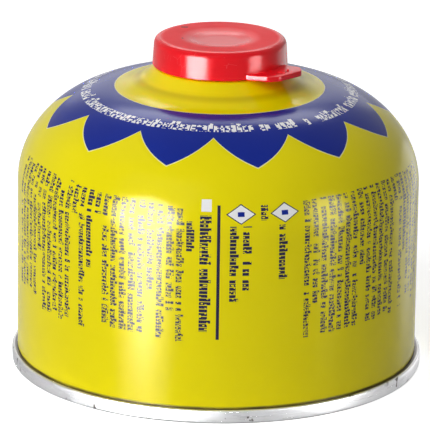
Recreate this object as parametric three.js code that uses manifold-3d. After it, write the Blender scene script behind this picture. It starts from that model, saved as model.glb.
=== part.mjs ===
// A screw-thread gas canister with its red press-fit cap, in millimetres, +Z up.
// The origin is on the axis at the level of the foot, and -Y faces the front of the print.
// The can is filled, so its metal and its contents are one solid. The sheet pieces have their true section.

import * as THREE from 'three';
import Module from 'manifold-3d';
import { mergeVertices } from 'three/addons/utils/BufferGeometryUtils.js';

const wasm = await Module();
wasm.setup();

// Can: a drawn wall that turns into the shoulder, a shallow collar and a short neck
const canRadius = 54;
const wallHeight = 50.4;
const shoulderRise = 25.85;
const shoulderEndRadius = 28.2;
const shoulderEndSlope = 5.1;
const shoulderLowerHandle = 13.55;
const shoulderUpperHandle = 13.95;
const collarRise = 3.45;
const creaseRadius = 19.8;
const creaseSlope = 29;
const neckRise = 2.5;
const neckRadius = 17.3;
const neckEdgeEase = 0.7;

// Rolled bead round the opening of the can
const openingRadius = 12.7;
const beadRadius = 1.3;
const beadLift = 0.4;
const beadSeatAngle = -50;

// Bottom end and its double seam
const endSheet = 0.3;
const seamOverhang = 1.48;
const seamHeight = 3.7;
const seamWidth = 2.1;
const seamEase = 0.55;
const countersink = 4.3;
const countersinkEase = 1.4;
const endCrownHeight = 12;

// Mounting cup, drawn from sheet and clinched under the bead
const cupSheet = 0.35;
const cupDepth = 8.1;
const cupHemAngle = -15;
const cupFloorEase = 1.2;
const clinchBulge = 1.25;
const clinchHeight = 3.2;
const bossRadius = 5.55;
const bossAboveRim = 0.75;
const bossHoleRadius = 2.3;
const bossTopEase = 0.6;

// Seals
const cupGasketThickness = 0.5;
const cupGasketInnerAngle = 172;
const cupGasketOuterAngle = 10;
const stemGasketThickness = 1.4;

// Valve housing, stem and spring
const housingWall = 1;
const housingLength = 12.4;
const housingInletRadius = 0.8;
const stemTipRadius = 1.9;
const stemRecess = 0.9;
const stemShoulderThickness = 1.6;
const stemGuideLength = 1.9;
const springWireRadius = 0.35;
const springTurns = 6;

// Cap with its pull tab
const capHeight = 7.4;
const capDraft = 0.45;
const capWall = 1.25;
const capTop = 1;
const capEdgeEase = 1.9;
const capRimWidth = 5.85;
const capDishFloorRadius = 4.7;
const capDishDepth = 1.1;
const capSnapDepth = 0.4;
const capSnapHeight = 0.6;
const tabThickness = 1.5;
const tabDirection = 52;
const tabLength = 6.2;
const tabHalfWidth = 6.8;
const tabCornerCut = 2.6;
const tabCornerEase = 0.8;
const tabLean = 0.8;
const tabFrontFlare = 2.4;
const tabRearInset = 1;

// Clearances
const seamGap = 0.1;
const panelGap = 0.35;
const sealGap = 0.1;
const stemGap = 0.1;
const springGap = 0.15;
const pocketGap = 0.4;
const capSeatGap = 0.26;
const capSnapGap = 0.1;

// Facets round the axis
const canFacets = 48;
const cupFacets = 32;
const capFacets = 40;
const valveFacets = 16;
const panelSteps = 4;

const radians = THREE.MathUtils.degToRad;

// Points without neighbours that fall on the same place
function withoutRepeats(points) {
  const nearest = 0.001;
  return points.filter((point, i) => i === 0 || point.distanceTo(points[i - 1]) > nearest);
}

// Points along a chain of corners [r, z, ease], where a corner is rounded over its ease
function chain(corners, steps = 3) {
  const points = corners.map(([r, z]) => new THREE.Vector2(r, z));
  const path = new THREE.Path();
  path.moveTo(points[0].x, points[0].y);
  for (let i = 1; i < points.length; i++) {
    const ease = corners[i][2] ?? 0;
    if (ease === 0 || i === points.length - 1) {
      path.lineTo(points[i].x, points[i].y);
      continue;
    }
    const entry = points[i - 1].clone().sub(points[i]).setLength(ease).add(points[i]);
    const exit = points[i + 1].clone().sub(points[i]).setLength(ease).add(points[i]);
    path.lineTo(entry.x, entry.y);
    path.quadraticCurveTo(points[i].x, points[i].y, exit.x, exit.y);
  }
  return path.getPoints(steps);
}

// Points on an arc in the r-z plane, between two angles in degrees
function arc(centre, radius, fromAngle, toAngle, steps) {
  const points = [];
  for (let i = 0; i <= steps; i++) {
    const angle = radians(fromAngle + (toAngle - fromAngle) * i / steps);
    const reach = new THREE.Vector2(Math.cos(angle), Math.sin(angle)).multiplyScalar(radius);
    points.push(reach.add(centre));
  }
  return points;
}

// Points on a cubic curve that leaves one end and reaches the other at given slopes
function sweep(start, startSlope, startHandle, end, endSlope, endHandle, steps) {
  const lean = (slope, length) => new THREE.Vector2(-Math.cos(slope), Math.sin(slope)).multiplyScalar(length);
  const leaving = lean(radians(startSlope), startHandle).add(start);
  const arriving = end.clone().sub(lean(radians(endSlope), endHandle));
  return new THREE.CubicBezierCurve(start, leaving, arriving, end).getPoints(steps);
}

// The closed section of a bent sheet, from its middle line, which may end on the axis
function sheetSection(middleLine, thickness) {
  const middle = withoutRepeats(middleLine);
  const normals = middle.slice(1).map((point, i) => {
    const along = point.clone().sub(middle[i]).normalize();
    return new THREE.Vector2(-along.y, along.x);
  });
  const side = (sign) => middle.map((point, i) => {
    const before = normals[Math.max(i - 1, 0)];
    const after = normals[Math.min(i, normals.length - 1)];
    const mean = before.clone().add(after).normalize();
    const reach = sign * thickness / 2 / mean.dot(after);
    const offset = mean.multiplyScalar(reach).add(point);
    return point.x === 0 ? new THREE.Vector2(0, point.y + sign * Math.sign(after.y) * thickness / 2) : offset;
  });
  const endsOnAxis = middle.at(-1).x === 0;
  if (endsOnAxis) return [...side(1).reverse(), ...side(-1)];
  const section = [...side(-1), ...side(1).reverse()];
  return [...section, section[0].clone()];
}

// The same geometry with shared vertices and no empty triangles
function welded(geometry) {
  const bare = geometry.clone();
  bare.deleteAttribute('normal');
  bare.deleteAttribute('uv');
  const merged = mergeVertices(bare, 1e-4);
  const corners = merged.index.array;
  const kept = [];
  for (let i = 0; i < corners.length; i += 3) {
    const [a, b, c] = [corners[i], corners[i + 1], corners[i + 2]];
    if (a !== b && b !== c && c !== a) kept.push(a, b, c);
  }
  merged.setIndex(kept);
  return merged;
}

// A body turned about the Z axis from its outline in the r-z plane
function turned(outline, facets) {
  const geometry = new THREE.LatheGeometry(withoutRepeats(outline), facets);
  geometry.rotateX(Math.PI / 2);
  return welded(geometry);
}

function toManifold(geometry) {
  return new wasm.Manifold(new wasm.Mesh({
    numProp: 3,
    vertProperties: new Float32Array(geometry.attributes.position.array),
    triVerts: new Uint32Array(geometry.index.array),
  }));
}

function fromManifold(solid) {
  const mesh = solid.getMesh();
  const geometry = new THREE.BufferGeometry();
  geometry.setAttribute('position', new THREE.BufferAttribute(mesh.vertProperties, 3));
  geometry.setIndex(new THREE.BufferAttribute(mesh.triVerts, 1));
  return geometry;
}

const canister = new THREE.Group();

function addPiece(name, geometry, color, roughness, metalness) {
  const mesh = new THREE.Mesh(geometry, new THREE.MeshStandardMaterial({ color, roughness, metalness }));
  geometry.computeVertexNormals();
  mesh.name = name;
  canister.add(mesh);
}

// Levels and radii that follow from the sizes above
const seamRadius = canRadius + seamOverhang;
const shoulderEndLevel = wallHeight + shoulderRise;
const creaseLevel = shoulderEndLevel + collarRise;
const ledgeLevel = creaseLevel + neckRise;
const beadCentre = new THREE.Vector2(openingRadius + beadRadius, ledgeLevel + beadLift + beadRadius);
const channelRadius = beadRadius + cupGasketThickness + 2 * sealGap;
const cupRimLevel = beadCentre.y + channelRadius + cupSheet;
const cupFloorLevel = cupRimLevel - cupDepth;
const cupWallMiddle = beadCentre.x - channelRadius - cupSheet / 2;
const clinchMiddle = cupWallMiddle + clinchBulge;
const clinchLevel = beadCentre.y - clinchHeight / 2;
const bossTopLevel = cupRimLevel + bossAboveRim;
const bossBoreRadius = bossRadius - cupSheet;
const housingRadius = bossBoreRadius - sealGap;
const stemGasketTop = bossTopLevel - cupSheet - sealGap;
const housingTop = stemGasketTop - stemGasketThickness - sealGap;
const housingFloor = housingTop - housingLength;
const stemShoulderRadius = housingRadius - housingWall - 5 * stemGap;
const stemShoulderTop = stemGasketTop - stemGasketThickness - springGap;
const stemShoulderBottom = stemShoulderTop - stemShoulderThickness;
const springRadius = stemShoulderRadius - springWireRadius - stemGap;
const stemGuideRadius = springRadius - springWireRadius - 3 * stemGap;
const capBottomLevel = ledgeLevel + capSeatGap;
const capTopLevel = capBottomLevel + capHeight;
const hemRadius = beadCentre.x + channelRadius + cupSheet;
const capRadius = hemRadius + capSnapGap + capSnapDepth + capWall;
const capTopRadius = capRadius - capDraft;
const capDishRadius = capTopRadius - capRimWidth;

// Bottom end: the hook over the flange, the foot, the chuck wall and the domed panel
const endHalf = endSheet / 2;
const chuckRadius = seamRadius - seamWidth + endHalf;
const endPanelEdge = chuckRadius - countersinkEase;
const endPanelCurve = new THREE.QuadraticBezierCurve(
  new THREE.Vector2(endPanelEdge, countersink),
  new THREE.Vector2(endPanelEdge / 2, endCrownHeight),
  new THREE.Vector2(0, endCrownHeight),
);
const endMiddle = [
  ...chain([
    [canRadius + seamGap, seamHeight - endHalf],
    [seamRadius - endHalf, seamHeight - endHalf, seamEase],
    [seamRadius - endHalf, endHalf, seamEase],
    [chuckRadius, endHalf, seamEase],
    [chuckRadius, countersink - countersinkEase],
    [endPanelEdge, countersink],
  ], 2),
  ...endPanelCurve.getPoints(panelSteps),
];
addPiece('bottom_end', turned(sheetSection(endMiddle, endSheet), canFacets), 0xc4c4c2, 0.35, 1);

// Can body: flange in the seam, wall, shoulder, collar, neck, bead and the well for the valve
const flangeInner = chuckRadius + endHalf + seamGap;
const flangeOuter = seamRadius - endSheet - seamGap;
const fillLift = endHalf + panelGap;
const shoulderCurve = sweep(
  new THREE.Vector2(canRadius, wallHeight), 90, shoulderLowerHandle,
  new THREE.Vector2(shoulderEndRadius, shoulderEndLevel), shoulderEndSlope, shoulderUpperHandle, 10,
);
const collarWidth = shoulderEndRadius - creaseRadius;
const collarCurve = sweep(
  new THREE.Vector2(shoulderEndRadius, shoulderEndLevel), shoulderEndSlope, collarWidth / 3,
  new THREE.Vector2(creaseRadius, creaseLevel), creaseSlope, collarWidth / 3, 3,
);
const beadArc = arc(beadCentre, beadRadius, beadSeatAngle, 180, 5);
const wellRadius = clinchMiddle + cupSheet / 2 + pocketGap;
const wellFloor = cupFloorLevel - cupSheet - sealGap;
const pocketRadius = housingRadius + pocketGap;
const pocketFloor = housingFloor - pocketGap;
const canOutline = [
  ...endPanelCurve.getPoints(panelSteps).reverse().map((point) => point.setY(point.y + fillLift)),
  ...chain([
    [flangeInner, countersink - countersinkEase],
    [flangeInner, endSheet + seamGap, seamEase],
    [flangeOuter, endSheet + seamGap, seamEase],
    [flangeOuter, seamHeight - endSheet - seamGap, seamEase],
    [canRadius, seamHeight - endSheet - seamGap],
  ], 2),
  ...shoulderCurve,
  ...collarCurve,
  ...chain([
    [creaseRadius, creaseLevel],
    [neckRadius, ledgeLevel, neckEdgeEase],
    [beadArc[0].x + beadRadius / 2, ledgeLevel],
    [beadArc[0].x, beadArc[0].y],
  ], 2),
  ...beadArc,
  ...chain([
    [openingRadius, beadCentre.y - beadRadius],
    [wellRadius, clinchLevel + clinchBulge / 2],
    [wellRadius, wellFloor],
    [pocketRadius, wellFloor],
    [pocketRadius, pocketFloor],
    [0, pocketFloor],
  ]),
];
addPiece('can_body', turned(canOutline, canFacets), 0xe4dc00, 0.25, 0);

// Mounting cup: hem over the bead, clinched wall, floor and the boss for the valve
const bossMiddle = bossRadius - cupSheet / 2;
const floorMiddle = cupFloorLevel + cupSheet / 2;
const cupMiddle = [
  ...arc(beadCentre, channelRadius + cupSheet / 2, cupHemAngle, 180, 7),
  ...chain([
    [cupWallMiddle, beadCentre.y],
    [cupWallMiddle, clinchLevel + clinchHeight / 4],
    [clinchMiddle, clinchLevel - clinchHeight / 8],
    [clinchMiddle, clinchLevel - clinchHeight / 3],
    [cupWallMiddle, clinchLevel - clinchHeight * 2 / 3],
    [cupWallMiddle, floorMiddle, cupFloorEase],
    [bossMiddle, floorMiddle, cupSheet],
    [bossMiddle, bossTopLevel - cupSheet / 2, bossTopEase],
    [bossHoleRadius, bossTopLevel - cupSheet / 2],
  ], 2),
];
addPiece('mounting_cup', turned(sheetSection(cupMiddle, cupSheet), cupFacets), 0xb9b8b0, 0.35, 1);

// Rubber between the bead and the hem of the cup
const gasketInside = beadRadius + sealGap;
const gasketOutside = gasketInside + cupGasketThickness;
const cupGasketOutline = [
  ...arc(beadCentre, gasketOutside, cupGasketOuterAngle, cupGasketInnerAngle, 4),
  ...arc(beadCentre, gasketInside, cupGasketInnerAngle, cupGasketOuterAngle, 4),
];
cupGasketOutline.push(cupGasketOutline[0].clone());
addPiece('cup_gasket', turned(cupGasketOutline, cupFacets), 0x1c1c1c, 0.8, 0);

// Rubber disc that the stem seals against
const stemGasketOutline = chain([
  [stemTipRadius + stemGap, stemGasketTop - stemGasketThickness],
  [housingRadius, stemGasketTop - stemGasketThickness],
  [housingRadius, stemGasketTop],
  [stemTipRadius + stemGap, stemGasketTop],
  [stemTipRadius + stemGap, stemGasketTop - stemGasketThickness],
]);
addPiece('stem_gasket', turned(stemGasketOutline, valveFacets), 0x222222, 0.8, 0);

// Housing: a cup with an inlet in its floor
const housingOutline = chain([
  [housingInletRadius, housingFloor],
  [housingRadius, housingFloor],
  [housingRadius, housingTop],
  [housingRadius - housingWall, housingTop],
  [housingRadius - housingWall, housingFloor + housingWall],
  [housingInletRadius, housingFloor + housingWall],
  [housingInletRadius, housingFloor],
]);
addPiece('valve_housing', turned(housingOutline, valveFacets), 0xe9e6dc, 0.5, 0);

// Stem: tip through the seal, shoulder under it and a guide for the spring
const stemOutline = chain([
  [0, stemShoulderBottom - stemGuideLength],
  [stemGuideRadius, stemShoulderBottom - stemGuideLength],
  [stemGuideRadius, stemShoulderBottom],
  [stemShoulderRadius, stemShoulderBottom],
  [stemShoulderRadius, stemShoulderTop],
  [stemTipRadius, stemShoulderTop],
  [stemTipRadius, bossTopLevel - stemRecess],
  [0, bossTopLevel - stemRecess],
]);
addPiece('valve_stem', turned(stemOutline, valveFacets), 0xc9a24a, 0.35, 1);

// Spring between the floor of the housing and the shoulder of the stem
class Helix extends THREE.Curve {
  constructor(radius, turns, fromLevel, toLevel) {
    super();
    Object.assign(this, { radius, turns, fromLevel, toLevel });
  }
  getPoint(t) {
    const angle = 2 * Math.PI * this.turns * t;
    const level = THREE.MathUtils.lerp(this.fromLevel, this.toLevel, t);
    return new THREE.Vector3(this.radius * Math.cos(angle), this.radius * Math.sin(angle), level);
  }
}
const springSeat = springWireRadius + springGap;
const springLine = new Helix(
  springRadius, springTurns, housingFloor + housingWall + springSeat, stemShoulderBottom - springSeat,
);
const wireSides = 5;
const stepsPerTurn = 10;
const wireSection = new THREE.Shape(
  arc(new THREE.Vector2(), springWireRadius, 0, 360 - 360 / wireSides, wireSides - 1),
);
const springGeometry = new THREE.ExtrudeGeometry(wireSection, {
  steps: springTurns * stepsPerTurn,
  extrudePath: springLine,
});
addPiece('valve_spring', welded(springGeometry), 0xb8b8b8, 0.3, 1);

// Cap: skirt with a snap rib inside, an eased edge and a dished top
function dish(level) {
  const points = [];
  const steps = 4;
  for (let i = 0; i <= steps; i++) {
    const share = i / steps;
    const radius = THREE.MathUtils.lerp(capDishRadius, capDishFloorRadius, share);
    points.push(new THREE.Vector2(radius, level - capDishDepth * (1 - Math.cos(Math.PI * share)) / 2));
  }
  return points;
}
const skirtInner = capRadius - capWall;
const capCeiling = capTopLevel - capTop;
const capOutline = [
  ...chain([
    [capRadius, capBottomLevel],
    [capTopRadius, capTopLevel, capEdgeEase],
    [capDishRadius, capTopLevel],
  ], 4),
  ...dish(capTopLevel),
  new THREE.Vector2(0, capTopLevel - capDishDepth),
  new THREE.Vector2(0, capCeiling - capDishDepth),
  ...dish(capCeiling).reverse(),
  ...chain([
    [capDishRadius, capCeiling],
    [capTopRadius - capWall, capCeiling, capWall],
    [skirtInner, capBottomLevel + 2 * capSnapHeight],
    [skirtInner - capSnapDepth, capBottomLevel + capSnapHeight],
    [skirtInner - capSnapDepth, capBottomLevel],
    [capRadius, capBottomLevel],
  ], 2),
];
const capShell = toManifold(turned([...capOutline.slice(0, -1), capOutline[0].clone()], capFacets));

// Pull tab: a flat tongue off the skirt, wider where it leaves the skirt at the front
const tabReach = capRadius + tabLength;
const tabRoot = capRadius - capWall / 2;
const tabFrontAngle = -THREE.MathUtils.radToDeg(Math.asin((tabHalfWidth + tabFrontFlare) / tabRoot));
const tabRearAngle = THREE.MathUtils.radToDeg(Math.asin((tabHalfWidth - tabRearInset) / tabRoot));
const rootArc = arc(new THREE.Vector2(), tabRoot, tabRearAngle, tabFrontAngle, 6);
const tabShape = new THREE.Shape(withoutRepeats([
  ...chain([
    rootArc.at(-1).toArray(),
    [tabReach - tabCornerCut, -tabHalfWidth, tabCornerEase],
    [tabReach - tabLean, tabCornerCut - tabHalfWidth, tabCornerEase],
    [tabReach, tabHalfWidth - tabCornerCut, tabCornerEase],
    [tabReach - tabCornerCut, tabHalfWidth, tabCornerEase],
    rootArc[0].toArray(),
  ], 2),
  ...rootArc.slice(0, -1),
]));
const tabBlock = new THREE.ExtrudeGeometry(tabShape, { depth: tabThickness, bevelEnabled: false });
tabBlock.rotateZ(radians(tabDirection - 90));
tabBlock.translate(0, 0, capBottomLevel);
const capSolid = capShell.add(toManifold(welded(tabBlock)));
addPiece('cap', fromManifold(capSolid), 0xd8141f, 0.3, 0);

export default canister;
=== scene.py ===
"""A screw-thread gas canister with a printed shoulder, a bare seam and a red press-fit cap."""

import math

import bmesh
import bpy
from mathutils import Matrix, Vector


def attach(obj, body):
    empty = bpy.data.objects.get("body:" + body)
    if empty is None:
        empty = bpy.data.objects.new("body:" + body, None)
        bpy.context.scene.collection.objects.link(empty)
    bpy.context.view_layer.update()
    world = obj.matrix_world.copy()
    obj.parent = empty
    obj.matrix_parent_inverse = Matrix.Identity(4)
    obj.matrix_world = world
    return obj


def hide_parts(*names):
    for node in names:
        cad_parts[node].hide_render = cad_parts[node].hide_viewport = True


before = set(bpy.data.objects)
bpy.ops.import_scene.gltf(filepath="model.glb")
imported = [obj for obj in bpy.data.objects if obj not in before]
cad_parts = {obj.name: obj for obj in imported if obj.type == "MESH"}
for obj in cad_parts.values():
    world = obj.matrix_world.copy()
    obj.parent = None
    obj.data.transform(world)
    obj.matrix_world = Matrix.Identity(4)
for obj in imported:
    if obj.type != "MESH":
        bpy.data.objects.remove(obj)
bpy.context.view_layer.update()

bl_info = {
    "name": "Gas canister",
    "version": (1, 0, 0),
    "blender": (4, 5, 0),
    "location": "View3D > Sidebar > Canister",
    "description": "Builds the can, its seamed base, its valve and its cap, and a stage to see them on",
    "category": "Add Mesh",
}

MM = 0.001


# Sizes and colours that a user would change

class CanisterShape(bpy.types.PropertyGroup):
    """Sizes of the can, its valve and its cap, in millimetres."""

    can_radius: bpy.props.FloatProperty(
        name="Can radius", description="Radius of the straight wall", default=54.0, min=40, max=70)
    wall_height: bpy.props.FloatProperty(
        name="Wall height", description="Level at which the shoulder starts", default=50.4, min=30, max=120)
    shoulder_rise: bpy.props.FloatProperty(
        name="Shoulder rise", description="Height of the shoulder above the wall", default=25.85)
    shoulder_end_radius: bpy.props.FloatProperty(
        name="Shoulder end", description="Radius at which the shoulder meets the collar", default=28.2)
    collar_rise: bpy.props.FloatProperty(
        name="Collar rise", description="Height of the collar up to its crease", default=3.45)
    crease_radius: bpy.props.FloatProperty(
        name="Crease radius", description="Radius of the crease at the foot of the neck", default=19.8)
    neck_rise: bpy.props.FloatProperty(
        name="Neck rise", description="Height of the neck above the crease", default=2.5)
    neck_radius: bpy.props.FloatProperty(
        name="Neck radius", description="Radius of the ledge under the cap", default=17.3)
    seam_radius: bpy.props.FloatProperty(
        name="Seam radius", description="Outer radius of the double seam", default=55.48)
    seam_height: bpy.props.FloatProperty(
        name="Seam height", description="Height of the double seam", default=3.7)
    boss_radius: bpy.props.FloatProperty(
        name="Boss radius", description="Outer radius of the thread on the boss", default=5.55)
    thread_pitch: bpy.props.FloatProperty(
        name="Thread pitch", description="Rise of the boss's thread in one turn", default=0.907)
    cap_radius: bpy.props.FloatProperty(
        name="Cap radius", description="Outer radius of the cap at its lower edge", default=18.1)
    cap_height: bpy.props.FloatProperty(
        name="Cap height", description="Height of the cap", default=7.4)
    facets: bpy.props.IntProperty(
        name="Facets", description="Faces round the axis", default=192, min=48, max=512)


class CanisterFinish(bpy.types.PropertyGroup):
    """Colours of the lacquer, the print and the cap."""

    yellow: bpy.props.FloatVectorProperty(
        name="Yellow", description="Ground colour of the lacquer", subtype="COLOR", default=(0.80, 0.69, 0.0))
    blue: bpy.props.FloatVectorProperty(
        name="Blue", description="Colour of the petal band", subtype="COLOR", default=(0.004, 0.02, 0.27))
    ink: bpy.props.FloatVectorProperty(
        name="Ink", description="Colour of the small print on the wall", subtype="COLOR",
        default=(0.02, 0.018, 0.06))
    white: bpy.props.FloatVectorProperty(
        name="White", description="Colour of the white print", subtype="COLOR", default=(0.86, 0.86, 0.86))
    pale: bpy.props.FloatVectorProperty(
        name="Pale line", description="Colour of the thin line round the petals", subtype="COLOR",
        default=(0.82, 0.79, 0.35))
    red: bpy.props.FloatVectorProperty(
        name="Red", description="Colour of the cap", subtype="COLOR", default=(0.86, 0.004, 0.012))


class CanisterStage(bpy.types.PropertyGroup):
    """The camera, the lights and the floor."""

    focal_length: bpy.props.FloatProperty(
        name="Focal length", description="Focal length of the camera's lens, on a 36 mm sensor",
        default=371.9)
    camera_distance: bpy.props.FloatProperty(
        name="Distance", description="Distance from the camera to the can's middle", default=1.2,
        unit="LENGTH")
    camera_elevation: bpy.props.FloatProperty(
        name="Elevation", description="Height angle of the camera", default=0.296846, unit="ROTATION")
    camera_roll: bpy.props.FloatProperty(
        name="Roll", description="Turn of the camera about its own line of sight", default=0.014423,
        unit="ROTATION")
    camera_pan: bpy.props.FloatProperty(
        name="Pan", description="Turn of the camera to the side", default=-0.000644, unit="ROTATION")
    aim_height: bpy.props.FloatProperty(
        name="Aim height", description="Height that the camera looks at", default=0.040074, unit="LENGTH")


# Outlines in the plane of radius and height, in millimetres

def arc_points(centre, radius, from_angle, to_angle, steps):
    """Points on an arc about centre, between two angles in degrees."""
    angles = [math.radians(from_angle + (to_angle - from_angle) * i / steps) for i in range(steps + 1)]
    return [(centre[0] + radius * math.cos(a), centre[1] + radius * math.sin(a)) for a in angles]


def sweep_points(start, start_slope, start_handle, end, end_slope, end_handle, steps):
    """Points on a cubic curve that leaves start and reaches end at slopes in degrees, going inwards."""
    def lean(slope, length):
        return Vector((-math.cos(math.radians(slope)), math.sin(math.radians(slope)))) * length

    a, d = Vector(start), Vector(end)
    b = a + lean(start_slope, start_handle)
    c = d - lean(end_slope, end_handle)
    points = []
    for i in range(steps + 1):
        t = i / steps
        points.append(tuple(a * (1 - t) ** 3 + b * 3 * t * (1 - t) ** 2 + c * 3 * t * t * (1 - t) + d * t ** 3))
    return points


def eased(corners, steps=6):
    """Points along a chain of corners (r, z, ease), where a corner is rounded over its ease."""
    points = [corners[0][:2]]
    for before, corner, after in zip(corners, corners[1:], corners[2:]):
        ease = corner[2] if len(corner) > 2 else 0
        here = Vector(corner[:2])
        if not ease:
            points.append(tuple(here))
            continue
        entry = here + (Vector(before[:2]) - here).normalized() * ease
        leave = here + (Vector(after[:2]) - here).normalized() * ease
        for i in range(steps + 1):
            t = i / steps
            points.append(tuple(entry * (1 - t) ** 2 + here * 2 * t * (1 - t) + leave * t * t))
    points.append(corners[-1][:2])
    return points


def sheet_section(middle, thickness):
    """The closed section of a bent sheet from its middle line, which may end on the axis."""
    line = [Vector(p) for i, p in enumerate(middle) if i == 0 or math.dist(p, middle[i - 1]) > 1e-4]
    normals = [Vector((-(b - a).y, (b - a).x)).normalized() for a, b in zip(line, line[1:])]

    def side(sign):
        points = []
        for i, point in enumerate(line):
            before = normals[max(i - 1, 0)]
            after = normals[min(i, len(normals) - 1)]
            mean = (before + after).normalized()
            offset = point + mean * (sign * thickness / 2 / mean.dot(after))
            if point.x < 1e-6:
                offset = Vector((0, point.y + sign * math.copysign(thickness / 2, after.y)))
            points.append(tuple(offset))
        return points

    return side(1)[::-1] + side(-1)


# Meshes

def finished(name, bm, sharp_angle=32):
    """The object of a bmesh, closed up, shaded smooth and sharp at its edges."""
    bmesh.ops.remove_doubles(bm, verts=bm.verts, dist=1e-6)
    bmesh.ops.dissolve_degenerate(bm, dist=1e-7, edges=bm.edges)
    bmesh.ops.recalc_face_normals(bm, faces=bm.faces)
    for face in bm.faces:
        face.smooth = True
    for edge in bm.edges:
        edge.smooth = edge.calc_face_angle(0) < math.radians(sharp_angle)
    mesh = bpy.data.meshes.new(name)
    bm.to_mesh(mesh)
    bm.free()
    piece = bpy.data.objects.new(name, mesh)
    bpy.context.scene.collection.objects.link(piece)
    return piece


def spun_mesh(outline, facets, closed=False):
    """A bmesh turned about the Z axis from an outline that ends on the axis, or closes on itself."""
    bm = bmesh.new()
    points = [p for i, p in enumerate(outline) if i == 0 or math.dist(p, outline[i - 1]) > 1e-4]
    verts = [bm.verts.new((r * MM, 0, z * MM)) for r, z in points]
    edges = [bm.edges.new(pair) for pair in zip(verts, verts[1:])]
    if closed:
        edges.append(bm.edges.new((verts[-1], verts[0])))
    bmesh.ops.spin(bm, geom=verts + edges, cent=(0, 0, 0), axis=(0, 0, 1), angle=math.tau,
                   steps=facets, use_merge=True, use_duplicate=False)
    bmesh.ops.remove_doubles(bm, verts=bm.verts, dist=1e-6)
    return bm


def joined(piece, *others):
    """Unites others with piece, and leaves one mesh."""
    for other in others:
        cut = piece.modifiers.new("join", "BOOLEAN")
        cut.operation = "UNION"
        cut.solver = "EXACT"
        cut.object = other
    bpy.context.view_layer.update()
    mesh = bpy.data.meshes.new_from_object(piece.evaluated_get(bpy.context.evaluated_depsgraph_get()))
    piece.modifiers.clear()
    piece.data = mesh
    for other in others:
        bpy.data.objects.remove(other)
    bm = bmesh.new()
    bm.from_mesh(mesh)
    bmesh.ops.remove_doubles(bm, verts=bm.verts, dist=1e-6)
    for face in bm.faces:
        face.smooth = True
    for edge in bm.edges:
        edge.smooth = edge.calc_face_angle(0) < math.radians(30)
    bm.to_mesh(mesh)
    bm.free()
    return piece


def dress(piece, body, material, slot, *nodes):
    """Gives a piece its material and body, and hides the CAD nodes that it stands for. Its slot is not used."""
    piece.data.materials.clear()
    piece.data.materials.append(material)
    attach(piece, body)
    if nodes:
        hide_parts(*nodes)


# Nodes

class Tree:
    """Short calls for building one node tree."""

    def __init__(self, tree):
        self.tree = tree

    def node(self, kind, **settings):
        new = self.tree.nodes.new("ShaderNode" + kind)
        for key, value in settings.items():
            setattr(new, key, value)
        return new

    def feed(self, socket, value):
        if isinstance(value, bpy.types.NodeSocket):
            self.tree.links.new(value, socket)
        else:
            socket.default_value = value

    def math(self, operation, *values, clamp=False):
        new = self.node("Math", operation=operation, use_clamp=clamp)
        for socket, value in zip(new.inputs, values):
            self.feed(socket, value)
        return new.outputs[0]

    def product(self, *values):
        result = values[0]
        for value in values[1:]:
            result = self.math("MULTIPLY", result, value)
        return result

    def ramp(self, value, low, high, to_low=0.0, to_high=1.0):
        """A straight ramp of value from low to high, held at both ends."""
        new = self.node("MapRange")
        for socket, amount in zip(new.inputs, (value, low, high, to_low, to_high)):
            self.feed(socket, amount)
        return new.outputs[0]

    def between(self, value, low, high):
        """1 where value lies between low and high."""
        above = self.math("GREATER_THAN", value, low)
        return self.math("MULTIPLY", above, self.math("LESS_THAN", value, high))

    def random(self, x, y):
        place = self.node("CombineXYZ")
        self.feed(place.inputs[0], x)
        self.feed(place.inputs[1], y)
        noise = self.node("TexWhiteNoise", noise_dimensions="2D")
        self.feed(noise.inputs["Vector"], place.outputs[0])
        return noise.outputs["Value"]

    def noise(self, vector, scale, detail=3.0, roughness=0.5):
        new = self.node("TexNoise")
        self.feed(new.inputs["Vector"], vector)
        new.inputs["Scale"].default_value = scale
        new.inputs["Detail"].default_value = detail
        new.inputs["Roughness"].default_value = roughness
        return new.outputs["Fac"]

    def mix(self, factor, a, b):
        new = self.node("Mix", data_type="RGBA")
        self.feed(new.inputs[0], factor)
        self.feed(new.inputs[6], a)
        self.feed(new.inputs[7], b)
        return new.outputs[2]

    def group(self, name, **inputs):
        new = self.node("Group", node_tree=bpy.data.node_groups[name])
        for key, value in inputs.items():
            self.feed(new.inputs[key.replace("_", " ")], value)
        return new

    def bump(self, height, strength, distance):
        new = self.node("Bump")
        new.inputs["Strength"].default_value = strength
        new.inputs["Distance"].default_value = distance
        self.feed(new.inputs["Height"], height)
        return new.outputs["Normal"]


def new_group(name, inputs, outputs):
    """A shader node group with named sockets, and the tree and end nodes to fill it with."""
    group = bpy.data.node_groups.new(name, "ShaderNodeTree")
    for label, kind, default in inputs:
        socket = group.interface.new_socket(label, in_out="INPUT", socket_type="NodeSocket" + kind)
        if default is not None:
            socket.default_value = default
    for label, kind in outputs:
        group.interface.new_socket(label, in_out="OUTPUT", socket_type="NodeSocket" + kind)
    return Tree(group), group.nodes.new("NodeGroupInput").outputs, group.nodes.new("NodeGroupOutput").inputs


def axis_group():
    """Azimuth in degrees from the front, radius and height in millimetres, from Object coordinates."""
    t, _, out = new_group("place_on_can", [], [("Azimuth", "Float"), ("Radius", "Float"), ("Height", "Float")])
    parts = t.node("SeparateXYZ")
    t.feed(parts.inputs[0], t.node("TexCoord").outputs["Object"])
    x, y, z = parts.outputs
    azimuth = t.math("ARCTAN2", x, t.math("MULTIPLY", y, -1.0))
    t.feed(out["Azimuth"], t.math("DEGREES", azimuth))
    radius = t.math("SQRT", t.math("ADD", t.product(x, x), t.product(y, y)))
    t.feed(out["Radius"], t.math("DIVIDE", radius, MM))
    t.feed(out["Height"], t.math("DIVIDE", z, MM))


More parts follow.
